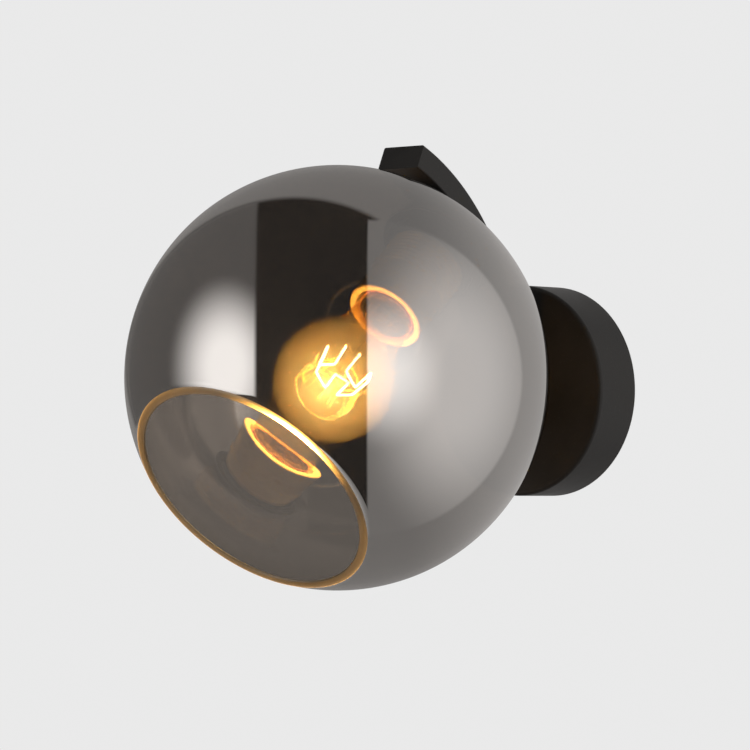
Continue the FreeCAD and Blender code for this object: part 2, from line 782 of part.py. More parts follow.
def make_end_cap(name, lean, facing):
    """A flat cap on one end of the arm's tube, with a spigot inside it."""
    end = moved(ARM, axis=X_AXIS, angle=lean)
    seat = moved(end, y="arm_middle", axis=X_AXIS, angle=facing)
    plate = extruded(f"{name}_plate", seat, "XY_Plane", "end_cap_thickness", rounded_rectangle(
        "0 - arm_width / 2", "0 - arm_thickness / 2", "arm_width / 2", "arm_thickness / 2", "arm_corner"))
    margin = "2 * (arm_wall + fit_gap)"
    spigot = box(f"{name}_spigot", moved(seat, z="0 - end_cap_spigot"), f"arm_width - {margin}",
                 f"arm_thickness - {margin}", "end_cap_spigot + end_cap_thickness / 2")
    keep(joined(name, [plate, spigot]))


def make_arm():
    """Rectangular steel tube bent round the globe, with its end caps, neck and lamp bush."""
    outside = rounded_rectangle("0 - arm_width / 2", "arm_inner", "arm_width / 2", "arm_outer", "arm_corner")
    inside = rounded_rectangle("0 - arm_width / 2 + arm_wall", "arm_inner + arm_wall",
                               "arm_width / 2 - arm_wall", "arm_outer - arm_wall", "arm_corner / 2")
    tube = turned("arm_tube", moved(ARM, axis=X_AXIS, angle="0 - arm_foot_angle"), outside, inside,
                  axis="H_Axis", plane="XY_Plane", angle="arm_foot_angle + arm_tip_angle")
    bush_hole = hole("bush_hole", moved(LAMP, z="arm_inner"), "bush_radius + thread_gap", "arm_wall")
    neck_hole = hole("neck_hole", moved(WALL, z="arm_face"), "threaded_bore", "arm_wall")
    keep(cut("arm", tube, [bush_hole, neck_hole]))
    make_end_cap("arm_tip_cap", "arm_tip_angle", 0)
    make_end_cap("arm_foot_cap", "0 - arm_foot_angle", HALF_TURN)
    base = moved(WALL, z="plate_depth")
    neck = cylinder("neck_blank", base, "neck_radius", "arm_face - plate_depth + overrun")
    neck_bore = hole("neck_bore", base, "threaded_bore", "arm_face - plate_depth")
    level = moved(ARM, x="0 - arm_width", axis=Y_AXIS, angle=QUARTER_TURN)
    saddle = cylinder("neck_saddle", level, "arm_outer", "2 * arm_width")
    keep(cut("arm_neck", neck, [neck_bore, saddle]))
    keep(turned("lamp_bush", LAMP, [
        ("threaded_bore", "cup_top"),
        ("bush_radius", "cup_top"),
        ("bush_radius", "arm_inner + bush_depth"),
        ("threaded_bore", "arm_inner + bush_depth"),
    ]))


# ---- lampholder ----------------------------------------------------------------------------------


def make_holder_mounting():
    """The pieces stacked on the lamp's axis between the arm and the glass."""
    keep(turned("holder_nipple", LAMP, [
        ("nipple_bore", "dome_ceiling - fit_gap"),
        ("nipple_radius", "dome_ceiling - fit_gap"),
        ("nipple_radius", "arm_inner + bush_depth - fit_gap"),
        ("nipple_bore", "arm_inner + bush_depth - fit_gap"),
    ]))
    keep(turned("holder_cup", LAMP, [
        ("cup_radius - cup_wall", "cup_rim"),
        ("cup_radius", "cup_rim"),
        ("cup_radius", "cup_top - cup_corner", "cup_corner"),
        ("cup_radius - cup_corner", "cup_top"),
        ("plain_bore", "cup_top"),
        ("plain_bore", "cup_floor"),
        ("cup_radius - cup_corner", "cup_floor", "-(cup_corner - cup_wall)"),
        ("cup_radius - cup_wall", "cup_top - cup_corner"),
    ]))
    gasket_bore = "cup_radius - gasket_width"
    keep(turned("glass_gasket", LAMP, [
        (gasket_bore, f"sqrt(globe_radius ^ 2 - ({gasket_bore}) ^ 2)", "-globe_radius"),
        ("cup_radius", "sqrt(globe_radius ^ 2 - cup_radius ^ 2)"),
        ("cup_radius", "cup_rim"),
        (gasket_bore, "cup_rim"),
    ]))


def make_holder_shell():
    """The lampholder's black dome and its gilt skirt, threaded outside for the shade ring."""
    spigot_radius = "skirt_bore - thread_gap"
    keep(turned("holder_dome", LAMP, [
        ("threaded_bore", "dome_ceiling"),
        ("dome_bore", "dome_ceiling"),
        ("dome_bore", "dome_foot"),
        (spigot_radius, "dome_foot"),
        (spigot_radius, "skirt_top"),
        ("skirt_radius", "skirt_top"),
        ("skirt_radius", "cup_floor"),
        ("threaded_bore", "cup_floor"),
    ]))
    thread = []
    for turn in range(int(size("skirt_thread_turns"))):
        foot = f"skirt_top - thread_runout - skirt_thread_pitch * (skirt_thread_turns - {turn})"
        thread += [
            ("skirt_radius", foot),
            ("thread_crest", f"{foot} + skirt_thread_pitch * 0.3"),
            ("thread_crest", f"{foot} + skirt_thread_pitch * 0.55"),
            ("skirt_radius", f"{foot} + skirt_thread_pitch * 0.85"),
        ]
    skirt = turned("holder_skirt", LAMP, [
        ("lip_radius", "holder_front"),
        ("skirt_radius", "holder_front"),
        *thread,
        ("skirt_radius", "skirt_top"),
        ("skirt_bore", "skirt_top"),
        ("skirt_bore", "core_base"),
        ("lip_radius", "core_base"),
    ])
    rounded(skirt, "skirt_lip_rounding", ("skirt_radius", "holder_front"), ("lip_radius", "holder_front"))
    keep(skirt)


def make_shade_ring():
    """Screwed ring that clamps the glass from inside, with finger notches round its body."""
    ring = turned("ring_blank", LAMP, [
        ("ring_bore", "ring_foot"),
        ("ring_body_radius", "ring_foot"),
        ("ring_body_radius", "flange_foot"),
        ("ring_flange_radius", "flange_foot"),
        ("ring_flange_radius", "ring_top"),
        ("ring_bore", "ring_top"),
    ])
    rounded(ring, "ring_rounding", ("ring_body_radius", "ring_foot"), ("ring_flange_radius", "flange_foot"))
    notches = ring_of("ring_notches", "ring_notch", moved(LAMP, z="ring_foot"),
                      "ring_body_radius + ring_notch_radius - ring_notch_depth", "ring_notch_radius",
                      "flange_foot - ring_foot - overrun - fit_gap")
    keep(cut("shade_ring", ring, notches))


def make_holder_core():
    """Ceramic core with a brass wire terminal in each of its two pockets."""
    blank = turned("core_blank", LAMP, [
        (0, "core_base"),
        ("core_radius", "core_base"),
        ("core_radius", "core_top"),
        (0, "core_top"),
    ])
    rounded(blank, "core_rounding", ("core_radius", "core_top"))
    tools = [hole("core_rivet_hole", moved(LAMP, z="core_base"), "rivet_hole_radius", "core_height")]
    posts = []
    screws = []
    for side, sign in SIDES:
        place = moved(LAMP, x=f"{sign} * post_offset", z="core_top - post_depth")
        tools.append(box(f"{side}_pocket", place, "post_width + 2 * running_gap",
                         "post_length + 2 * running_gap", "post_depth + overrun"))
        block = box(f"{side}_post_block", place, "post_width", "post_length", "post_height")
        wire_hole = cylinder(f"{side}_post_hole", moved(place, y="0 - post_hole_offset", z="post_height / 2"),
                             "wire_radius + thread_gap", "post_height")
        screw_foot = moved(place, y="post_hole_offset", z="post_height - post_screw_length")
        tap = cylinder(f"{side}_post_tap", moved(screw_foot, z="0 - thread_gap"),
                       "clamp_screw_radius + thread_gap", "post_height")
        posts.append(cut(f"{side}_post", block, [wire_hole, tap]))
        screws.append(slotted_screw(f"{side}_post_screw", screw_foot, "clamp_screw_radius",
                                    "post_screw_length", "clamp_head_radius", "post_head_height"))
    keep(cut("holder_core", blank, tools))
    keep(grouped("holder_terminals", posts))
    keep(grouped("holder_terminal_screws", screws))


def make_holder_contacts():
    """Rolled screw shell with a smooth collar in front of its thread, and the springy centre contact."""
    floor = "(core_base - shell_wall)"
    crest_middle = "shell_crest + screw_depth / 2"
    outer_middle = f"{crest_middle} + shell_wall"
    thread_end = f"({floor} - thread_runout)"
    thread_start = f"({thread_end} - shell_turns * screw_pitch)"
    keep(turned("screw_shell", LAMP, [
        (crest_middle, "shell_front"),
        (outer_middle, "shell_front"),
        *rolled_thread(outer_middle, thread_start, "screw_pitch", "shell_turns", "screw_depth"),
        (outer_middle, thread_end),
        (outer_middle, "core_base"),
        ("shell_hole_radius", "core_base"),
        ("shell_hole_radius", floor),
        (crest_middle, floor),
        *rolled_thread(crest_middle, thread_start, "screw_pitch", "shell_turns", "screw_depth", inner=True),
        (crest_middle, thread_start),
    ]))
    drop = "(contact_reach - contact_gap)"
    keep(extruded("centre_contact", moved(LAMP, z="core_base"), "XZ_Plane", "contact_width", [
        ("0 - contact_foot", 0),
        ("0 - contact_foot", "0 - contact_thickness"),
        ("0 - contact_heel - contact_thickness", "0 - contact_thickness"),
        ("0 - contact_heel", f"0 - {drop}"),
        ("contact_heel", f"0 - {drop}"),
        ("contact_heel", f"contact_thickness - {drop}"),
        ("contact_thickness - contact_heel", f"contact_thickness - {drop}"),
        ("0 - contact_heel", 0),
    ], middle=True))


# ---- bulb ----------------------------------------------------------------------------------------


def make_bulb_glass():
    """Pear-shaped amber envelope whose neck narrows into the screw cap."""
    inner_neck = "bulb_neck_radius - bulb_wall"
    inner_foot = "cap_inner - bulb_wall"
    keep(turned("bulb_glass", LAMP, [
        (0, "bulb_tip", "bulb_radius"),
        ("blend_radius", "blend_height", "0 - neck_bend"),
        ("bulb_neck_radius", "neck_height"),
        ("bulb_neck_radius", "neck_height + neck_straight"),
        ("cap_inner", "cap_front - cap_flange"),
        ("cap_inner", "glass_foot"),
        (inner_foot, "glass_foot"),
        (inner_foot, "cap_front - 2 * cap_flange"),
        (inner_neck, "neck_height + neck_straight / 2"),
        (inner_neck, "neck_height", "neck_bend + bulb_wall"),
        ("inner_blend_radius", "inner_blend_height", "bulb_wall - bulb_radius"),
        (0, "bulb_tip + bulb_wall"),
    ]))


def make_bulb_stem():
    """Glass stem: a button on a thin rod, a press that seals the lead wires, and a flare in the neck."""
    button_top = "(stem_tip + button_height)"
    blank = turned("stem_blank", LAMP, [
        (0, "stem_tip"),
        ("button_radius", "stem_tip"),
        ("button_radius", button_top),
        ("stem_radius", f"{button_top} + button_radius - stem_radius"),
        ("stem_radius", "press_foot - press_radius"),
        ("press_radius", "press_foot"),
        ("press_radius", "press_top"),
        ("flare_radius", "glass_foot - flare_height"),
        ("flare_radius", "glass_foot"),
        ("flare_radius - bulb_wall", "glass_foot"),
        ("press_radius - stem_radius", "press_top + stem_radius"),
        (0, "press_top + stem_radius"),
    ])
    tools = []
    for side, sign in SIDES:
        place = moved(moved(LAMP, angle=lead_turn(sign)), x="lead_offset", z="cage_far")
        tools.append(cylinder(f"{side}_lead_hole", place, "lead_radius + thread_gap",
                              "press_rise + press_length / 2 + thread_gap"))
    keep(cut("bulb_stem", blank, tools))


def make_bulb_cap():
    """Rolled screw cap, its black glass insulator and its end contact."""
    mid = "(cap_radius - screw_depth / 2)"
    inner = f"({mid} - cap_wall)"
    start = "(cap_front + cap_collar)"
    end = f"({start} + cap_turns * screw_pitch)"
    flange_end = "(cap_front + cap_flange_height)"
    keep(turned("bulb_cap", LAMP, [
        (inner, "cap_front"),
        ("cap_radius + cap_flange", "cap_front"),
        ("cap_radius + cap_flange", flange_end),
        (mid, f"{flange_end} + 2 * cap_flange"),
        *rolled_thread(mid, start, "screw_pitch", "cap_turns", "screw_depth"),
        (mid, end),
        ("insulator_radius", "insulator_foot"),
        ("insulator_radius - cap_wall", "insulator_foot"),
        (inner, f"{end} - cap_wall / 4"),
        *rolled_thread(inner, start, "screw_pitch", "cap_turns", "screw_depth", inner=True)[1:],
        (inner, start),
    ]))
    spigot_radius = "insulator_radius - cap_wall - fit_gap"
    keep(turned("bulb_cap_insulator", LAMP, [
        (0, "insulator_foot - insulator_spigot"),
        (spigot_radius, "insulator_foot - insulator_spigot"),
        (spigot_radius, "insulator_foot"),
        ("insulator_radius", "insulator_foot"),
        ("insulator_face_radius", "insulator_top"),
        (0, "insulator_top"),
    ]))
    contact = turned("bulb_contact", LAMP, [
        (0, "insulator_top"),
        ("end_contact_radius", "insulator_top"),
        ("end_contact_radius", "bulb_foot"),
        (0, "bulb_foot"),
    ])
    keep(rounded(contact, "end_contact_rounding", ("end_contact_radius", "bulb_foot")))


def loop_turn(loop, sign):
    """Where one leg of a filament loop stands round the stem, in degrees."""
    return f"{FULL_TURN} / cage_loops * ({loop}) + {sign} * cage_chord / 2"


def lead_turn(sign):
    """Where a lead wire stands: the filament starts at the first loop and ends at the last."""
    return loop_turn(0, -1) if sign < 0 else loop_turn("cage_loops - 1", 1)


def make_filament():
    """Filament that zigzags round the stem: wide chords near the tip, narrow ones near the cap."""
    corners = []
    for loop in range(int(size("cage_loops"))):
        down, up = loop_turn(loop, -1), loop_turn(loop, 1)
        corners += [
            round_lamp("cage_far_radius", down, "cage_far"),
            round_lamp("cage_near_radius", down, "cage_near"),
            round_lamp("cage_near_radius", up, "cage_near"),
            round_lamp("cage_far_radius", up, "cage_far"),
        ]
    keep(routed("bulb_filament", [corners], "filament_radius", share=0.15))


def make_filament_wires():
    """Two lead wires that come out of the press, and the fine wires that hold the filament's chords."""
    hook = "cage_far_radius - lead_radius - filament_radius"
    leads = []
    for side, sign in SIDES:
        turn = lead_turn(sign)
        leads.append([
            round_lamp("lead_offset", turn, "press_foot + press_length / 2"),
            round_lamp("lead_offset", turn, "press_foot - press_radius - stem_radius"),
            round_lamp(hook, turn, "cage_far + 2 * support_dip"),
            round_lamp(hook, turn, "cage_far + fit_gap"),
        ])
    keep(routed("bulb_lead_wires", leads, "lead_radius", share=0.3))
    near_chord = "cage_near_radius * cos(cage_chord / 2) - 2 * filament_radius"
    far_chord = f"cage_far_radius * cos({HALF_TURN} / cage_loops - cage_chord / 2) - 2 * filament_radius"
    hub = "(stem_tip + button_height / 2)"
    supports = []
    for loop in range(int(size("cage_loops"))):
        turn = loop_turn(loop, 0)
        supports.append([
            round_lamp("button_radius + running_gap", turn, hub),
            round_lamp(f"({near_chord}) * 0.75", turn, f"{hub} - support_dip"),
            round_lamp(near_chord, turn, "cage_near - support_dip / 2"),
        ])
    for loop in range(int(size("cage_loops")) - 1):
        turn = loop_turn(loop + 0.5, 0)
        supports.append([
            round_lamp("stem_radius", turn, "cage_far - 2 * support_dip"),
            round_lamp(f"({far_chord}) * 0.7", turn, "cage_far - 2 * support_dip"),
            round_lamp(far_chord, turn, "cage_far"),
        ])
    keep(routed("bulb_support_wires", supports, "support_radius", share=0.3))


# ---- wires through the arm -----------------------------------------------------------------------


def make_wires():
    """Live and neutral from the block through neck and arm to the lampholder, and the earth lead."""
    for name, sign in (("live_wire", 1), ("neutral_wire", -1)):
        inside = f"{sign} * wire_offset"
        sleeve = f"{sign} * sleeve_spacing / 2"
        post = f"{sign} * post_offset"
        level = "strap_thickness + sleeve_height"
        turn = "core_top + wire_turn_rise"
        route = [
            at(WALL, sleeve, "block_length / 4 - clamp_screw_radius - block_drop", level),
            at(WALL, sleeve, "0 - wire_drop", level),
            at(WALL, inside, "0 - wire_drop", "nut_face - 3 * nipple_stand"),
            at(WALL, inside, "0 - wire_drop", "arm_face + arm_thickness - 2 * arm_wall"),
            in_arm(inside, "lamp_tilt * 0.25"),
            in_arm(inside, "lamp_tilt * 0.6"),
            at(LAMP, inside, "0 - wire_drop", "arm_middle + wire_offset"),
            at(LAMP, inside, "0 - wire_drop", f"{turn} + wire_turn_height"),
            at(LAMP, post, "0 - post_hole_offset", turn),
            at(LAMP, post, "0 - post_hole_offset", "core_top - post_depth + post_height / 2 + wire_radius"),
        ]
        keep(routed(name, [route], "wire_radius"))
    strap_barrel = "strap_thickness + tag_thickness / 2 + tag_barrel_step"
    plate_barrel = "nut_seat + tag_thickness / 2 - tag_barrel_step"
    earth = [
        at(WALL, "strap_width / 2 + tag_barrel_length / 2", "earth_rise", strap_barrel),
        at(WALL, "earth_reach", "earth_rise", strap_barrel),
        at(WALL, "earth_bow", "earth_rise * 0.7", "(strap_thickness + nut_seat) / 2"),
        at(WALL, "(earth_reach + earth_bow) / 2", 0, plate_barrel),
        at(WALL, "plate_tag_reach + tag_barrel_length / 3", 0, plate_barrel),
    ]
    keep(routed("earth_wire", [earth], "wire_radius"))


# ---- glass globe ---------------------------------------------------------------------------------


def make_globe():
    """Blown glass globe: a wide flame-polished mouth and a small hole for the lampholder."""
    globe = turned("glass_globe", LAMP, [
        ("mouth_radius", "0 - mouth_depth", "globe_radius"),
        ("glass_hole_radius", "sqrt(globe_radius ^ 2 - glass_hole_radius ^ 2)"),
        ("glass_hole_radius", "sqrt(glass_inner ^ 2 - glass_hole_radius ^ 2)", "0 - glass_inner"),
        ("mouth_inner", "0 - mouth_depth"),
    ])
    rounded(globe, "rim_rounding", ("mouth_radius", "0 - mouth_depth"), ("mouth_inner", "0 - mouth_depth"))
    keep(globe)


make_strap()
make_plate()
make_side_screws()
make_terminal_block()
make_earth_point()
make_plate_fastening()
make_arm()
make_holder_mounting()
make_holder_shell()
make_shade_ring()
make_holder_core()
make_holder_contacts()
make_bulb_glass()
make_bulb_stem()
make_bulb_cap()
make_filament()
make_filament_wires()
make_wires()
make_globe()
document.recompute()

failed = [item.Name for item in document.Objects if {"Invalid", "Error"} & set(item.State)]
assert not failed, f"these objects failed: {failed}"
for piece in finished:
    assert not piece.Shape.isNull() and piece.Shape.isValid(), f"{piece.Label} has no valid shape"

os.makedirs("parts", exist_ok=True)
for piece in finished:
    piece.Shape.exportStep(f"parts/{piece.Label}.step")
    print(f"{piece.Label:24s} {len(piece.Shape.Solids)} solids {piece.Shape.Volume:10.1f} mm3")
print(f"{len(finished)} sub-parts")
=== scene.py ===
"""Looks of the globe wall sconce: finishes, blown glass, lit bulb, studio and camera."""
import json
import math

import bpy
import numpy
from mathutils import Matrix, Vector, noise


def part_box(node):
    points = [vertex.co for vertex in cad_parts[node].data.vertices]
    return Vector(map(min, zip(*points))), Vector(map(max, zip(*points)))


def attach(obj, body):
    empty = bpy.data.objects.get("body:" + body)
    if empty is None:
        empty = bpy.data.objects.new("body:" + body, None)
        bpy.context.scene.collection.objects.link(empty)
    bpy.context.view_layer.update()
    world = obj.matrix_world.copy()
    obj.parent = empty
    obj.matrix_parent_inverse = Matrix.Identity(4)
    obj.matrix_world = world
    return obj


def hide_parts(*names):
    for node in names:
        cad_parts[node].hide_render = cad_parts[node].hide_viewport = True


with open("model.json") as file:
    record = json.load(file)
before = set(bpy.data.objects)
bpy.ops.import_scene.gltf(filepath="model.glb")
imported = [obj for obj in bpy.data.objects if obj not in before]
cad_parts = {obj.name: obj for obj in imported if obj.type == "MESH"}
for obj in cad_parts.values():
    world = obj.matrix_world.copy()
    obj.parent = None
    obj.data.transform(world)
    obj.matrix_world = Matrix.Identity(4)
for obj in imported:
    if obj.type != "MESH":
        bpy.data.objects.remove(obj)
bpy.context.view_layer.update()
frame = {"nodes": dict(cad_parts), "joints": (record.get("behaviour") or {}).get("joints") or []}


# ---- fixing strap --------------------------------------------------------------------------------
# A folded strip of zinc-plated steel that two wall screws hold to the wall. Its two ears are tapped
# for the screws that hold the round plate. The plating is bluish grey and a little cloudy.

class Field:
    """A number or colour that changes over a surface: one socket of a finish's nodes."""

    def __init__(self, tree, socket=None):
        self.tree = tree
        self.socket = socket

    def node(self, kind, settings=None, inputs=None, output=0):
        """Add a node: its settings first, then the values or links of its inputs."""
        made = self.tree.nodes.new(kind)
        for name, value in (settings or {}).items():
            setattr(made, name, value)
        for name, value in (inputs or {}).items():
            if isinstance(value, Field):
                self.tree.links.new(value.socket, made.inputs[name])
            else:
                made.inputs[name].default_value = value
        return Field(self.tree, made.outputs[output])

    def math(self, operation, *values):
        return self.node("ShaderNodeMath", {"operation": operation}, dict(enumerate(values)))

    def greatest(self, other):
        return self.math("MAXIMUM", self, other)

    def __add__(self, other):
        return self.math("ADD", self, other)

    def __sub__(self, other):
        return self.math("SUBTRACT", self, other)

    def __rsub__(self, other):
        return self.math("SUBTRACT", other, self)

    def __mul__(self, other):
        return self.math("MULTIPLY", self, other)

    def __truediv__(self, other):
        return self.math("DIVIDE", self, other)

    def __pow__(self, power):
        return self.math("POWER", self, power)

    __radd__ = __add__
    __rmul__ = __mul__

    def rise(self, start, end):
        """0 up to start, 1 from end on, smooth between them."""
        return self.node("ShaderNodeMapRange", {"interpolation_type": "SMOOTHSTEP"},
                         {"Value": self, "From Min": start, "From Max": end})

    def blend(self, first, second):
        """The first colour where this is 0, the second where it is 1."""
        return self.node("ShaderNodeMix", {"data_type": "RGBA"}, {0: self, 6: first, 7: second}, output=2)

    def feeds(self, shader, name):
        self.tree.links.new(self.socket, shader.inputs[name])


class Finish:
    """A material with one Principled shader; plain values sit on the shader's own sockets."""

    def __init__(self, name, colour, **plain):
        self.material = bpy.data.materials.new(name)
        self.material.use_nodes = True
        self.tree = self.material.node_tree
        self.shader = self.tree.nodes["Principled BSDF"]
        self.shader.inputs["Base Color"].default_value = (*colour, 1)
        for words, value in plain.items():
            self.shader.inputs[words.replace("_", " ").title().replace("Ior", "IOR")].default_value = value
        self.start = Field(self.tree)
        self.place = self.start.node("ShaderNodeTexCoord", output="Object")

    def noise(self, size, detail=3.0, stretch=(1, 1, 1), kind="ShaderNodeTexNoise"):
        """A pattern whose features are about that size in metres, drawn out along an axis by stretch."""
        spread = self.start.node("ShaderNodeMapping", inputs={
            "Vector": self.place, "Scale": [1 / amount for amount in stretch]})
        inputs = {"Vector": spread, "Scale": 1 / size}
        if kind == "ShaderNodeTexNoise":
            inputs["Detail"] = detail
        return self.start.node(kind, inputs=inputs)

    def feed(self, name, field):
        field.feeds(self.shader, name)
        return self

    def relief(self, height, depth):
        """Raise the surface by up to that many metres where the height is 1."""
        bump = self.start.node("ShaderNodeBump", inputs={"Height": height, "Distance": depth})
        return self.feed("Normal", bump)


def dress(finish, *nodes):
    """Give carried-over pieces their finish."""
    for node in nodes:
        for place in frame["nodes"][node].material_slots:
            place.material = finish.material


def zinc_plate():
    """Bright zinc: cloudy patches, fine rolling lines and a soft sheen."""
    zinc = Finish("zinc_plate", (0.55, 0.56, 0.56), metallic=1.0, roughness=0.34)
    cloud = zinc.noise(0.006, 4)
    lines = zinc.noise(0.0006, 2, stretch=(40, 1, 1))
    zinc.feed("Base Color", cloud.rise(0.3, 0.7).blend((0.47, 0.48, 0.47, 1), (0.62, 0.62, 0.6, 1)))
    zinc.feed("Roughness", 0.24 + cloud * 0.16 + lines * 0.08)
    return zinc.relief(lines, 0.00002)


zinc = zinc_plate()
dress(zinc, "mounting_strap", "block_screw", "terminal_screws", "earth_tags", "plate_nipple", "lock_washer",
      "plate_nut", "holder_nipple", "holder_terminal_screws")


# ---- terminal block ------------------------------------------------------------------------------
# A moulded nylon block screwed to the strap. Two brass sleeves run through it, each with two clamp
# screws down wells, for the live and the neutral wire.

def natural_nylon():
    """Milky nylon with faint flow marks."""
    nylon = Finish("natural_nylon", (0.8, 0.79, 0.74), roughness=0.42, subsurface_weight=0.2,
                   subsurface_scale=0.002)
    flow = nylon.noise(0.004, 2, stretch=(1, 3, 1))
    nylon.feed("Base Color", flow.blend((0.76, 0.74, 0.67, 1), (0.86, 0.85, 0.81, 1)))
    nylon.feed("Roughness", 0.36 + flow * 0.14)
    return nylon.relief(nylon.noise(0.0007), 0.00003)


def turned_brass():
    """Turned brass: bright, with tool lines and a few dull patches."""
    brass = Finish("turned_brass", (0.72, 0.52, 0.22), metallic=1.0, roughness=0.26)
    dull = brass.noise(0.003, 4).rise(0.45, 0.75)
    lines = brass.noise(0.0004, 2, stretch=(1, 1, 12))
    brass.feed("Base Color", dull.blend((0.8, 0.6, 0.27, 1), (0.58, 0.4, 0.17, 1)))
    brass.feed("Roughness", 0.18 + dull * 0.2 + lines * 0.08)
    return brass.relief(lines, 0.00001)


dress(natural_nylon(), "terminal_block")
brass = turned_brass()
dress(brass, "terminal_sleeves", "earth_screw", "earth_washer", "holder_terminals", "centre_contact")


# ---- wires ---------------------------------------------------------------------------------------
# Stranded copper in silicone sleeves: brown for live, blue for neutral, green with a yellow stripe
# for earth. Live and neutral run from the block through neck and arm to the lampholder, and earth
# runs from the strap to the plate.

def sleeve(name, colour, darker):
    """Matt silicone that has picked up a little dust."""
    rubber = Finish(name, colour, roughness=0.55)
    dust = rubber.noise(0.0015, 4).rise(0.4, 0.75)
    rubber.feed("Base Color", dust.blend((*darker, 1), (*colour, 1)))
    rubber.feed("Roughness", 0.45 + dust * 0.25)
    return rubber.relief(rubber.noise(0.0003), 0.00001)


def striped_sleeve():
    """Green silicone with one yellow stripe along one side."""
    green, yellow = (0.05, 0.22, 0.04, 1), (0.72, 0.6, 0.05, 1)
    rubber = sleeve("earth_sleeve", green[:3], (0.03, 0.15, 0.03))
    facing = rubber.start.node("ShaderNodeNewGeometry", output="True Normal")
    side = rubber.start.node("ShaderNodeSeparateXYZ", inputs={0: facing}, output="Z")
    rubber.feed("Base Color", side.rise(0.35, 0.45).blend(green, yellow))
    return rubber


dress(sleeve("live_sleeve", (0.16, 0.07, 0.03), (0.11, 0.045, 0.02)), "live_wire")
dress(sleeve("neutral_sleeve", (0.03, 0.12, 0.4), (0.02, 0.08, 0.28)), "neutral_wire")
dress(striped_sleeve(), "earth_wire")


# ---- wall plate, neck and curved arm -------------------------------------------------------------
# The plate is a pressed steel cup, the arm a bent rectangular tube with flat end caps. They share one
# satin black powder coat with a fine orange-peel skin, a little duller in some patches than in others.

def powder_coat():
    """Satin black powder coat with orange peel and a few specks of dust."""
    coat = Finish("black_powder_coat", (0.011, 0.01, 0.0095), roughness=0.4, specular_ior_level=0.18)
    peel = coat.noise(0.0011, 2)
    grain = coat.noise(0.00025, 2)
    drift = coat.noise(0.035, 3)
    dust = coat.noise(0.0018, kind="ShaderNodeTexVoronoi").rise(0.1, 0.04)
    worn = drift.rise(0.35, 0.7)
    tone = worn.blend((0.0095, 0.009, 0.0085, 1), (0.0135, 0.0125, 0.0115, 1))
    coat.feed("Base Color", (dust * 0.25).blend(tone, (0.2, 0.19, 0.17, 1)))
    coat.feed("Roughness", 0.31 + worn * 0.1 + peel * 0.1 + dust * 0.2)
    return coat.relief(peel * 0.8 + grain * 0.2, 0.00005)


dress(powder_coat(), "wall_plate", "arm_neck", "arm", "arm_tip_cap", "arm_foot_cap", "lamp_bush",
      "holder_cup", "side_screws")


# ---- lampholder ----------------------------------------------------------------------------------
# A black heat-resistant dome and screwed ring hold a polished gilt skirt with a rolled lip. Inside
# it sit a glazed ceramic core and a copper screw shell that takes the bulb.

def black_moulding():
    """Glossy black moulding with soft flow marks and fine handling scratches."""
    moulding = Finish("black_moulding", (0.016, 0.014, 0.013), roughness=0.3)
    marks = moulding.noise(0.004, 4)
    scratches = moulding.noise(0.0004, 2, stretch=(25, 1, 4)).rise(0.62, 0.75)
    moulding.feed("Base Color", marks.blend((0.012, 0.011, 0.01, 1), (0.024, 0.021, 0.019, 1)))
    moulding.feed("Roughness", 0.22 + marks * 0.14 + scratches * 0.25)
    return moulding.relief(moulding.noise(0.0009), 0.00002)


def gilt_skirt():
    """Polished gilt: faint spinning lines, fingerprints. Half metallic, so that the bulb lights it too."""
    gilt = Finish("gilt_skirt", (0.85, 0.62, 0.3), metallic=0.5, roughness=0.12)
    prints = gilt.noise(0.004, 4).rise(0.5, 0.75)
    lines = gilt.noise(0.0005, 2, stretch=(12, 1, 1))
    gilt.feed("Base Color", prints.blend((0.88, 0.66, 0.33, 1), (0.74, 0.5, 0.22, 1)))
    gilt.feed("Roughness", 0.08 + prints * 0.12 + lines * 0.05)
    return gilt.relief(lines, 0.00001)


def copper_shell():
    """Rolled copper alloy, heat-tinted orange red. Half metallic, so that the bulb lights it too."""
    copper = Finish("copper_shell", (0.72, 0.26, 0.1), metallic=0.5, roughness=0.24)
    heat = copper.noise(0.005, 3)
    copper.feed("Base Color", heat.rise(0.35, 0.7).blend((0.8, 0.34, 0.14, 1), (0.6, 0.17, 0.06, 1)))
    copper.feed("Roughness", 0.18 + heat * 0.16)
    return copper.relief(copper.noise(0.0006), 0.00001)


def glazed_ceramic():
    """White steatite with a thin uneven glaze."""
    ceramic = Finish("glazed_ceramic", (0.8, 0.77, 0.7), roughness=0.25, coat_weight=0.4, coat_roughness=0.08)
    shade = ceramic.noise(0.003, 4)
    pits = ceramic.noise(0.0009, kind="ShaderNodeTexVoronoi").rise(0.12, 0.05)
    ceramic.feed("Base Color", shade.blend((0.76, 0.72, 0.63, 1), (0.86, 0.84, 0.78, 1)))
    ceramic.feed("Roughness", 0.18 + shade * 0.16 + pits * 0.3)
    return ceramic.relief(shade - pits * 0.6, 0.00004)


def clear_silicone():
    """Soft translucent gasket, slightly yellow."""
    silicone = Finish("clear_silicone", (0.42, 0.4, 0.36), roughness=0.5, subsurface_weight=0.4,
                      subsurface_scale=0.003)
    milk = silicone.noise(0.002, 3)
    silicone.feed("Base Color", milk.blend((0.36, 0.34, 0.3, 1), (0.52, 0.5, 0.46, 1)))
    return silicone.feed("Roughness", 0.4 + milk * 0.2)


moulding = black_moulding()
dress(moulding, "holder_dome", "shade_ring")
dress(gilt_skirt(), "holder_skirt")
dress(copper_shell(), "screw_shell")
dress(glazed_ceramic(), "holder_core")
dress(clear_silicone(), "glass_gasket")
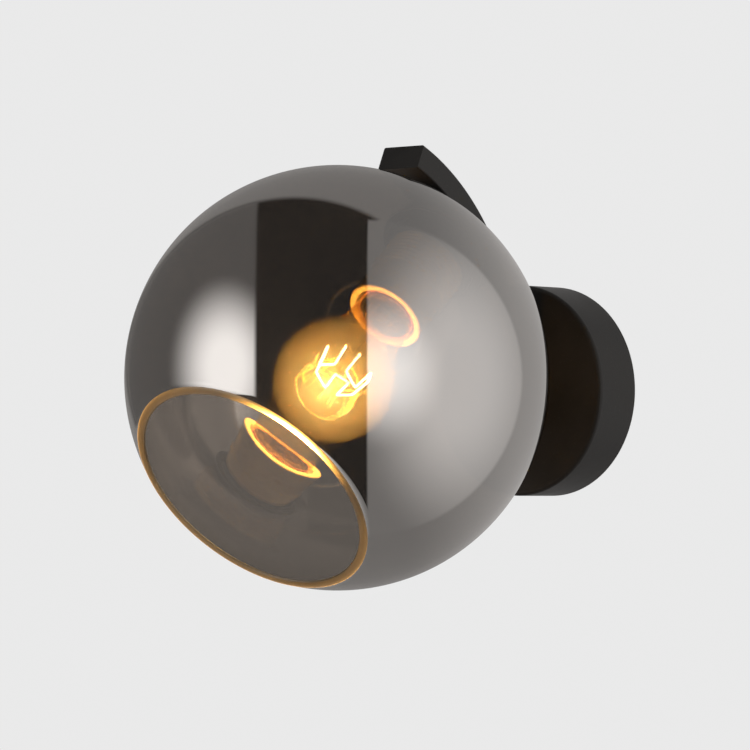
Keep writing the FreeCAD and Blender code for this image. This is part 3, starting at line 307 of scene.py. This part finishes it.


# ---- glass globe ---------------------------------------------------------------------------------
# Mouth-blown glass, smoke tinted, with a half-mirror metal coat on its outside. The wide mouth is
# cut square to the lamp's axis and flame-polished, so its edge is round. The edge's amber tint is
# painted glow of the bulb, laid over the bulb's real light that passes through it.

GLASS_WALL = 0.0025
MOUTH_RADIUS = 0.0605
GLASS_HOLE_RADIUS = 0.021
RIM_ROUNDING = 0.0011
RIM_BULGE = 0.9 * RIM_ROUNDING
RIM_STEPS = 12
GLASS_WOBBLE = 0.00006
WAVES_PER_METRE = 18
ROUND_STEPS = 224
ARC_STEPS = 88
ON_AXIS = 1e-7
EDGE_POWER = 4

low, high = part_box("glass_globe")
GLOBE_RADIUS = (high.x - low.x) / 2
globe_centre = Vector((0, high.y - GLOBE_RADIUS, high.z - GLOBE_RADIUS))
pole = -Vector(next(joint["axis"] for joint in frame["joints"] if joint["name"] == "bulb_unscrew"))
across = Vector((1, 0, 0))
# The lamp's own frame: the globe's centre, with its third axis up through the lampholder.
lamp = Matrix.Translation(globe_centre) @ Matrix((across, pole.cross(across), pole)).transposed().to_4x4()


def arc(radius, start, end, steps, centre=(0.0, 0.0)):
    """Points of an arc in a turned piece's outline; angles are measured from straight out."""
    angles = [start + (end - start) * step / steps for step in range(steps + 1)]
    return [(centre[0] + radius * math.cos(a), centre[1] + radius * math.sin(a)) for a in angles]


def turned(name, outline, finishes, place=lamp, steps=ROUND_STEPS, closed=True, wobble=0.0, finish_at=None):
    """A smooth piece turned about the lamp's axis from an outline of (radius, height) points."""
    vertices = []
    rings = []
    for radius, height in outline:
        if radius < ON_AXIS:
            rings.append([len(vertices)] * steps)
            vertices.append(Vector((0, 0, height)))
            continue
        rings.append(list(range(len(vertices), len(vertices) + steps)))
        for step in range(steps):
            turn = math.tau * step / steps
            vertices.append(Vector((radius * math.cos(turn), radius * math.sin(turn), height)))
    faces = []
    owners = []
    count = len(rings) if closed else len(rings) - 1
    for index in range(count):
        below = rings[index]
        above = rings[(index + 1) % len(rings)]
        for step in range(steps):
            ahead = (step + 1) % steps
            loop = [below[step], below[ahead], above[ahead], above[step]]
            corners = [corner for spot, corner in enumerate(loop) if corner != loop[spot - 1]]
            if len(set(corners)) >= 3:
                faces.append(corners)
                owners.append(finish_at(index) if finish_at else 0)
    if wobble:
        for vertex in vertices:
            vertex *= 1 + wobble * noise.noise(vertex * WAVES_PER_METRE) / vertex.length
    mesh = bpy.data.meshes.new(name)
    mesh.from_pydata([place @ vertex for vertex in vertices], [], faces)
    mesh.polygons.foreach_set("use_smooth", [True] * len(faces))
    mesh.polygons.foreach_set("material_index", owners)
    for finish in finishes:
        mesh.materials.append(finish.material)
    piece = bpy.data.objects.new(name, mesh)
    bpy.context.scene.collection.objects.link(piece)
    return piece


class Glass(Finish):
    """Glass that lets light straight through, tinted. Its skin takes a share: least head on, most edge on."""

    def __init__(self, name, tint, least, most, skin, **plain):
        super().__init__(name, skin, **plain)
        output = self.tree.nodes["Material Output"]
        edge = self.start.node("ShaderNodeLayerWeight", inputs={"Blend": 0.5}, output="Facing")
        share = least + edge ** EDGE_POWER * (most - least)
        clear = self.start.node("ShaderNodeBsdfTransparent", inputs={"Color": (*tint, 1)})
        mixed = self.start.node("ShaderNodeMixShader", inputs={
            0: share, 1: clear, 2: Field(self.tree, self.shader.outputs[0])})
        self.tree.links.new(mixed.socket, output.inputs["Surface"])


def rim_painted_glow():
    """Round edge that light from inside passes through, as a rod of glass; its amber tint is painted bulb
    glow.
    """
    # The amber colour is painted glow of the bulb, not the smoked glass's own tint; real light still passes
    # through.
    rim = Finish("rim_painted_glow", (0.5, 0.34, 0.17), roughness=0.42, transmission_weight=1.0, ior=1.2,
                 coat_weight=0.6, coat_roughness=0.04)
    drawn = rim.noise(0.0011, 3)
    rim.feed("Roughness", 0.34 + drawn * 0.2)
    return rim.relief(drawn, 0.00012)


def make_globe():
    smoke = Glass("smoked_mirror", (0.25, 0.228, 0.208), 0.36, 0.7, (0.95, 0.93, 0.91), metallic=1.0,
                  roughness=0.0)
    inner = Glass("smoked_inside", (0.86, 0.83, 0.8), 0.1, 0.5, (0.9, 0.88, 0.86), metallic=1.0,
                  roughness=0.0)
    rim = rim_painted_glow()
    mouth = math.asin(MOUTH_RADIUS / GLOBE_RADIUS)
    hole = math.asin(GLASS_HOLE_RADIUS / GLOBE_RADIUS)
    inside = GLOBE_RADIUS - GLASS_WALL
    lip = RIM_ROUNDING / GLOBE_RADIUS
    quarter = math.pi / 2
    outer = arc(GLOBE_RADIUS, mouth - quarter + lip, quarter - hole, ARC_STEPS)
    depth = -math.cos(mouth) * GLOBE_RADIUS
    inner_mouth = math.acos(-depth / inside)
    back = arc(inside, quarter - hole, inner_mouth - quarter + lip, ARC_STEPS)
    start, end = Vector(back[-1]), Vector(outer[0])
    middle = (start + end) / 2
    bulge = Vector((0, -RIM_BULGE))
    edge = []
    for step in range(1, RIM_STEPS):
        turn = math.pi * step / RIM_STEPS
        edge.append(middle + (start - end) / 2 * math.cos(turn) + bulge * math.sin(turn))
    outline = outer + back + [tuple(point) for point in edge]
    first_inner = len(outer)
    first_edge = len(outer) + len(back) - 1

    def finish_at(index):
        if index < first_inner:
            return 0
        return 1 if index < first_edge else 2

    globe = turned("blown_globe", outline, [smoke, inner, rim], wobble=GLASS_WOBBLE, finish_at=finish_at)
    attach(globe, "lamp_frame")
    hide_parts("glass_globe")


make_globe()


# ---- bulb ----------------------------------------------------------------------------------------
# A pear-shaped amber bulb on a rolled brass screw cap. A coiled filament zigzags round a glass stem
# on fine wire supports; when it is lit the filament is white and the amber glass round it glows.

BULB_RADIUS = 0.029
BULB_FORWARD = 0.003
NECK_RADIUS = 0.0146
NECK_HEIGHT = 0.042
CAP_FRONT = 0.0456
NECK_SHOULDER = (0.0016, 0.0008)
GLOBE_STEPS = 64
BEND_ARC_STEPS = 32
BULB_ROUND_STEPS = 128
BULB_POWER = 4.5
GLOW_RISE = -0.007
GLOW_RADIUS = 0.008
FLAME = (1.0, 0.72, 0.34)
FILAMENT_GLOW = 110.0
HAZE = 2.6
COIL_RADIUS = 0.00042
COIL_WIRE = 0.00012
COIL_PITCH = 0.00045
COIL_STEPS = 9
BEND_STEPS = 14
LOOPS = 4
NEAR_RING = (0.0106, 0.0015)
FAR_RING = (0.0127, 0.013)
CHORD = math.radians(55)


def amber_glass():
    """Amber lacquered glass with fine scratches and seeds that sparkle in the light of the filament."""
    amber = Glass("amber_glass", (0.97, 0.8, 0.44), 0.08, 0.7, (1.0, 0.84, 0.5), metallic=1.0)
    scratches = amber.noise(0.0007, 3, stretch=(1, 9, 2)).rise(0.62, 0.72)
    seeds = amber.noise(0.0016, kind="ShaderNodeTexVoronoi").rise(0.16, 0.06)
    amber.feed("Roughness", scratches * 0.2 + 0.02)
    amber.relief(scratches + seeds, 0.0002)
    haze = amber.start.node("ShaderNodeVolumeScatter", inputs={"Density": HAZE})
    amber.tree.links.new(haze.socket, amber.tree.nodes["Material Output"].inputs["Volume"])
    return amber


def make_bulb_glass():
    bend_top = Vector((NECK_RADIUS, NECK_HEIGHT))
    centre = Vector((0, -BULB_FORWARD))
    gap = bend_top - centre
    bend = (gap.length_squared - BULB_RADIUS ** 2) / (2 * (BULB_RADIUS - NECK_RADIUS))
    bend_centre = bend_top + Vector((bend, 0))
    leaving = math.atan2(bend_centre.y - centre.y, bend_centre.x - centre.x)
    shoulder_in, shoulder_down = NECK_SHOULDER
    outline = arc(BULB_RADIUS, -math.pi / 2, leaving, GLOBE_STEPS, centre)
    outline += arc(bend, leaving + math.pi, math.pi, BEND_ARC_STEPS, bend_centre)[1:]
    outline += [(NECK_RADIUS, CAP_FRONT - shoulder_down), (NECK_RADIUS - shoulder_in, CAP_FRONT)]
    outline.append((0.0, CAP_FRONT))
    outline[0] = (0.0, outline[0][1])
    bulb = turned("amber_bulb", outline, [amber_glass()], closed=False, steps=BULB_ROUND_STEPS)
    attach(bulb, "bulb")
    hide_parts("bulb_glass")


make_bulb_glass()
dress(brass, "bulb_cap")
dress(zinc, "bulb_contact", "bulb_support_wires", "bulb_lead_wires")
dress(moulding, "bulb_cap_insulator")


def clear_stem():
    """Clear glass of the stem: almost unseen but for the light of the filament on its sides."""
    stem = Glass("clear_stem", (0.96, 0.95, 0.92), 0.06, 0.8, (1.0, 0.97, 0.92), metallic=1.0)
    drawn = stem.noise(0.0012, 2)
    stem.feed("Roughness", drawn * 0.1)
    return stem.relief(drawn, 0.00005)


def glowing_filament():
    glow = Finish("glowing_filament", (0.1, 0.06, 0.03), roughness=0.6)
    glow.shader.inputs["Emission Strength"].default_value = FILAMENT_GLOW
    heat = glow.noise(0.002, 2)
    return glow.feed("Emission Color", heat.blend((1.0, 0.7, 0.34, 1), (1.0, 0.84, 0.55, 1)))


def filament_line():
    """Points close together along the filament's zigzag, with its corners rounded."""
    corners = []
    for loop in range(LOOPS):
        for side, rings in ((-1, (FAR_RING, NEAR_RING)), (1, (NEAR_RING, FAR_RING))):
            turn = math.tau * loop / LOOPS + side * CHORD / 2
            out = Vector((math.cos(turn), math.sin(turn), 0))
            for radius, rise in rings:
                corners.append(out * radius + Vector((0, 0, rise - BULB_FORWARD)))
    points = []
    for start, end in zip(corners, corners[1:]):
        count = round((end - start).length / COIL_PITCH * COIL_STEPS)
        points += [start.lerp(end, step / count) for step in range(count)]
    line = numpy.pad(numpy.array(points), ((BEND_STEPS, BEND_STEPS), (0, 0)), mode="edge")
    window = 2 * BEND_STEPS + 1
    return sum(line[step:step + len(points)] for step in range(window)) / window


def make_filament():
    """The coiled wire, wound round the filament's line."""
    line = filament_line()
    along = numpy.gradient(line, axis=0)
    along /= numpy.linalg.norm(along, axis=1)[:, None]
    side = numpy.cross(along, line * (1, 1, 0))
    side /= numpy.linalg.norm(side, axis=1)[:, None]
    out = numpy.cross(side, along)
    turn = (numpy.arange(len(line)) * math.tau / COIL_STEPS)[:, None]
    wound = line + COIL_RADIUS * (out * numpy.cos(turn) + side * numpy.sin(turn))
    curve = bpy.data.curves.new("filament_line", "CURVE")
    curve.dimensions = "3D"
    curve.bevel_depth = COIL_WIRE
    curve.bevel_resolution = 0
    spline = curve.splines.new("POLY")
    spline.points.add(len(wound) - 1)
    for point, place in zip(spline.points, wound):
        point.co = (*(lamp @ Vector(place)), 1)
    shape = bpy.data.objects.new("filament_line", curve)
    mesh = bpy.data.meshes.new_from_object(shape)
    mesh.materials.append(glowing_filament().material)
    filament = bpy.data.objects.new("coiled_filament", mesh)
    bpy.context.scene.collection.objects.link(filament)
    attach(filament, "bulb")
    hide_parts("bulb_filament")


make_filament()
dress(clear_stem(), "bulb_stem")


def light_bulb():
    """The light that the filament gives. It isn't seen itself, and no mirror shows it."""
    light = bpy.data.lights.new("lit_filament", "POINT")
    light.energy = BULB_POWER
    light.color = FLAME
    light.shadow_soft_size = GLOW_RADIUS
    glow = bpy.data.objects.new("lit_filament", light)
    glow.location = lamp @ Vector((0, 0, GLOW_RISE))
    glow.visible_camera = False
    glow.visible_glossy = False
    bpy.context.scene.collection.objects.link(glow)


light_bulb()


# ---- studio --------------------------------------------------------------------------------------
# A round pale floor below the lamp and a pale surround. The light comes from two large soft boxes, to
# the right and the left, with a dark gap between them, from dimmer walls behind the lamp, and from a
# soft box overhead that the glass doesn't mirror.

FLOOR_DROP = 0.19
FLOOR_REACH = 1.2
PALE = 0.82
OVERHEAD_SIZE = 2.0
OVERHEAD_HEIGHT = 1.6
OVERHEAD_POWER = 26.0
GAP_LEFT = (-0.385, -0.36)
GAP_RIGHT = (0.135, 0.15)
RIGHT_ROUND = (0.13, 0.0)
RIGHT_EDGE = (0.72, 0.74)
RIGHT_CORE = (0.2, 0.03, 0.32, 0.38)
RIGHT_SPREAD = (0.56, 0.0, 0.52, 0.85)
RIGHT_LEVELS = (0.36, 1.4, 0.95)
LEFT_ROUND = (-0.2, 0.05)
LEFT_EDGE = (0.775, 0.785)
LEFT_CORE = (-0.51, 0.05, 0.28, 0.44)
LEFT_LEVELS = (0.16, 2.3)
WALL_EDGE = (0.77, 0.8)
WALL_LEVELS = (0.34, 0.3)
WALL_RISE = (0.3, 0.9)
GAP_LEVEL = 0.02
CORE_EDGE = (0.1, 1.0)
SOFT_EDGE = (0.2, 1.0)
LIGHT_WHITE = (1.0, 0.97, 0.95, 1)
SEEN_WHITE = (1, 1, 1, 1)
VIEW_TURN = math.radians(41.137)
VIEW_RISE = math.radians(-1.636)

sideways = Vector((math.cos(VIEW_TURN), math.sin(VIEW_TURN), 0))
towards = Vector((math.sin(VIEW_TURN) * math.cos(VIEW_RISE), -math.cos(VIEW_TURN) * math.cos(VIEW_RISE),
                  math.sin(VIEW_RISE)))
upwards = towards.cross(sideways)


def make_floor():
    """A disc that is seen from above only, so that the lamp can be looked at from below."""
    pale = Finish("pale_floor", (0.84, 0.84, 0.84), roughness=0.85)
    below = pale.start.node("ShaderNodeNewGeometry", output="Backfacing")
    nothing = pale.start.node("ShaderNodeBsdfTransparent")
    shown = pale.start.node("ShaderNodeMixShader", inputs={
        0: below, 1: Field(pale.tree, pale.shader.outputs[0]), 2: nothing})
    pale.tree.links.new(shown.socket, pale.tree.nodes["Material Output"].inputs["Surface"])
    depth = low.z - FLOOR_DROP
    floor = turned("floor", [(FLOOR_REACH, depth), (0.0, depth)], [pale], place=Matrix(), closed=False)
    floor.visible_glossy = False


class Surround:
    """Soft light all round, laid out as a round mirror at the lamp would show it from the front.

    Across and height run from -1 to 1: 0 is the light from the camera's side, 1 is light from behind.
    """

    def __init__(self):
        world = bpy.data.worlds.new("studio")
        world.use_nodes = True
        bpy.context.scene.world = world
        self.start = Field(world.node_tree)
        self.background = world.node_tree.nodes["Background"]
        direction = self.start.node("ShaderNodeTexCoord", output="Generated")
        between = self.vector("ADD", direction, towards)
        mirror = self.vector("NORMALIZE", between)
        self.across = self.vector("DOT_PRODUCT", mirror, sideways, output="Value")
        self.height = self.vector("DOT_PRODUCT", mirror, upwards, output="Value")

    def vector(self, operation, *values, output=0):
        return self.start.node("ShaderNodeVectorMath", {"operation": operation}, dict(enumerate(values)),
                               output)

    def away(self, across, height, width=1.0, tall=1.0):
        """How far a place is from that centre, in widths and talls."""
        return (((self.across - across) / width) ** 2 + ((self.height - height) / tall) ** 2) ** 0.5

    def within(self, centre, edge):
        """1 in the middle of a round patch, 0 beyond its soft edge."""
        return 1 - self.away(*centre).rise(*edge)

    def right_box(self):
        plain, core, spread = RIGHT_LEVELS
        inside = self.across.rise(*GAP_RIGHT) * self.within(RIGHT_ROUND, RIGHT_EDGE)
        middle = self.within(RIGHT_CORE, CORE_EDGE) * core
        return inside * (plain + middle + self.within(RIGHT_SPREAD, SOFT_EDGE) * spread)

    def left_box(self):
        plain, core = LEFT_LEVELS
        inside = (1 - self.across.rise(*GAP_LEFT)) * self.within(LEFT_ROUND, LEFT_EDGE)
        return inside * (plain + self.within(LEFT_CORE, SOFT_EDGE) * core)

    def walls(self):
        plain, brighter = WALL_LEVELS
        front = self.within(LEFT_ROUND, WALL_EDGE)
        right = self.within(RIGHT_ROUND, RIGHT_EDGE)
        return (1 - front.greatest(right)) * (plain + self.across.rise(*WALL_RISE) * brighter)

    def shine(self):
        light = self.right_box() + self.left_box() + self.walls() + GAP_LEVEL
        seen = self.start.node("ShaderNodeLightPath", output="Is Camera Ray")
        through = self.start.node("ShaderNodeLightPath", output="Is Transmission Ray")
        plain = seen.greatest(through)
        plain.blend(LIGHT_WHITE, SEEN_WHITE).feeds(self.background, "Color")
        (plain * PALE + (1 - plain) * light).feeds(self.background, "Strength")


def hang_overhead():
    light = bpy.data.lights.new("overhead", "AREA")
    light.size = OVERHEAD_SIZE
    light.energy = OVERHEAD_POWER
    overhead = bpy.data.objects.new("overhead", light)
    overhead.location = (0, globe_centre.y, OVERHEAD_HEIGHT)
    overhead.visible_camera = False
    overhead.visible_glossy = False
    bpy.context.scene.collection.objects.link(overhead)


make_floor()
Surround().shine()
hang_overhead()


# ---- camera --------------------------------------------------------------------------------------
# A long lens in front of the lamp, to the right and a little below it.

VIEW_DISTANCE = 2.0
SIDE_STEP = 0.017784
UP_STEP = 0.001289
LENS = 204.17
SENSOR = 36
CLEAR_LAYERS = 24

view = bpy.data.cameras.new("camera")
view.lens = LENS
view.sensor_width = SENSOR
camera = bpy.data.objects.new("camera", view)
camera.location = globe_centre + towards * VIEW_DISTANCE + sideways * SIDE_STEP + upwards * UP_STEP
camera.rotation_euler = Matrix((sideways, upwards, towards)).transposed().to_euler()
bpy.context.scene.collection.objects.link(camera)
bpy.context.scene.camera = camera
bpy.context.scene.view_settings.view_transform = "Standard"
bpy.context.scene.cycles.transparent_max_bounces = CLEAR_LAYERS
